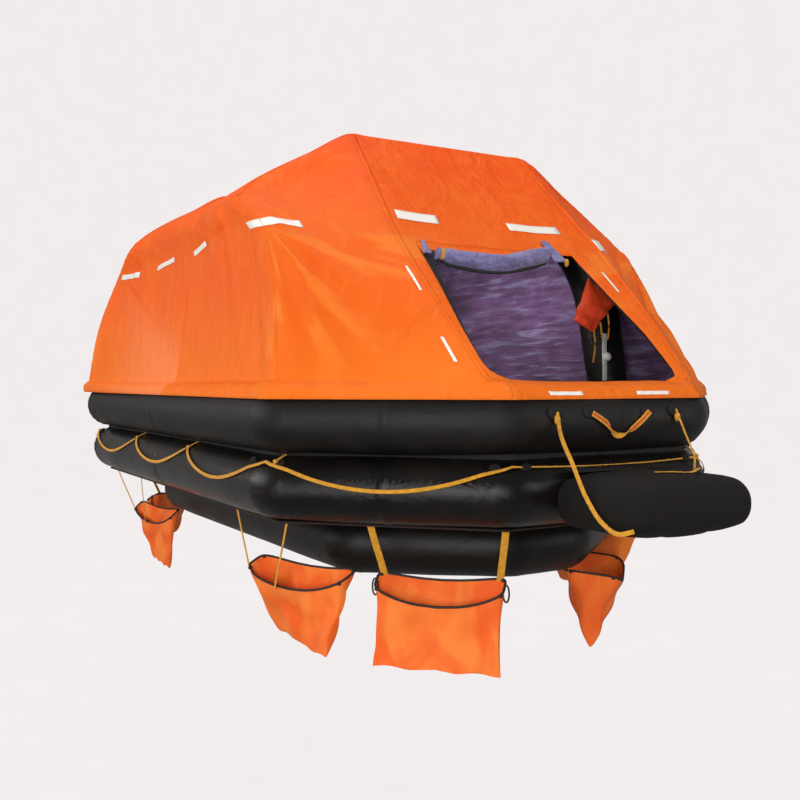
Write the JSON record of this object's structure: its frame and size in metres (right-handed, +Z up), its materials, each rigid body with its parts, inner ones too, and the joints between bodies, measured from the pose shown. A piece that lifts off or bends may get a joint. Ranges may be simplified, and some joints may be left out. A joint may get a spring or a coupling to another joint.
{
  "type": "canopied inflatable life raft",
  "caption": "Inflatable life raft: stacked octagonal tubes, panelled canopy on arch tubes with a doorway at each end, hinged boarding ramps and hanging water pockets.",
  "frame": {"origin": "middle of the raft in plan, on the seam between the upper and the middle tube", "axes": "+X to the front doorway, +Z up"},
  "size_m": [6.264, 2.9894, 2.88],
  "materials": {
    "black_rubber": "glossy coated fabric",
    "floor_rubber": "matt coated fabric",
    "orange_fabric": "proofed cloth",
    "orange_roof": "proofed cloth",
    "purple_lining": "thin coated cloth",
    "pocket_fabric": "proofed cloth",
    "webbing": "woven tape",
    "white_plastic": "satin",
    "cylinder_paint": "satin"
  },
  "bodies": {
    "raft": {"upper_tube": "black_rubber", "middle_tube": "black_rubber", "lower_tube": "black_rubber", "floor": "floor_rubber", "arch_front": "black_rubber", "arch_back": "black_rubber", "canopy_roof": "orange_roof", "canopy_side_left": "orange_fabric", "canopy_side_right": "orange_fabric", "canopy_end_front": "orange_fabric", "canopy_end_back": "orange_fabric", "canopy_corner_front_left": "orange_fabric", "canopy_corner_front_right": "orange_fabric", "canopy_corner_back_left": "orange_fabric", "canopy_corner_back_right": "orange_fabric", "door_roll_front": "purple_lining", "door_roll_back": "purple_lining", "water_pocket_side_left_front": "pocket_fabric", "water_pocket_side_left_back": "pocket_fabric", "water_pocket_side_right_front": "pocket_fabric", "water_pocket_side_right_back": "pocket_fabric", "water_pocket_corner_front": "pocket_fabric", "water_pocket_corner_back": "pocket_fabric", "water_pocket_lower_front": "pocket_fabric", "water_pocket_lower_back": "pocket_fabric", "grab_line": "webbing", "gear_bag": "pocket_fabric", "arch_lamp": "white_plastic", "towing_patch_left": "black_rubber", "towing_patch_right": "black_rubber", "gas_cylinder": "cylinder_paint"},
    "ramp_front": {"boarding_ramp_front": "black_rubber"},
    "ramp_back": {"boarding_ramp_back": "black_rubber"}
  },
  "joints": [
    {"name": "ramp_front_hinge", "type": "hinge", "parent": "raft", "child": "ramp_front", "pos_m": [2.627, 0, -0.058], "axis": [0, -1, 0], "range_deg": [0, 75]},
    {"name": "ramp_back_hinge", "type": "hinge", "parent": "raft", "child": "ramp_back", "pos_m": [-2.627, 0, -0.058], "axis": [0, 1, 0], "range_deg": [0, 75]}
  ]
}
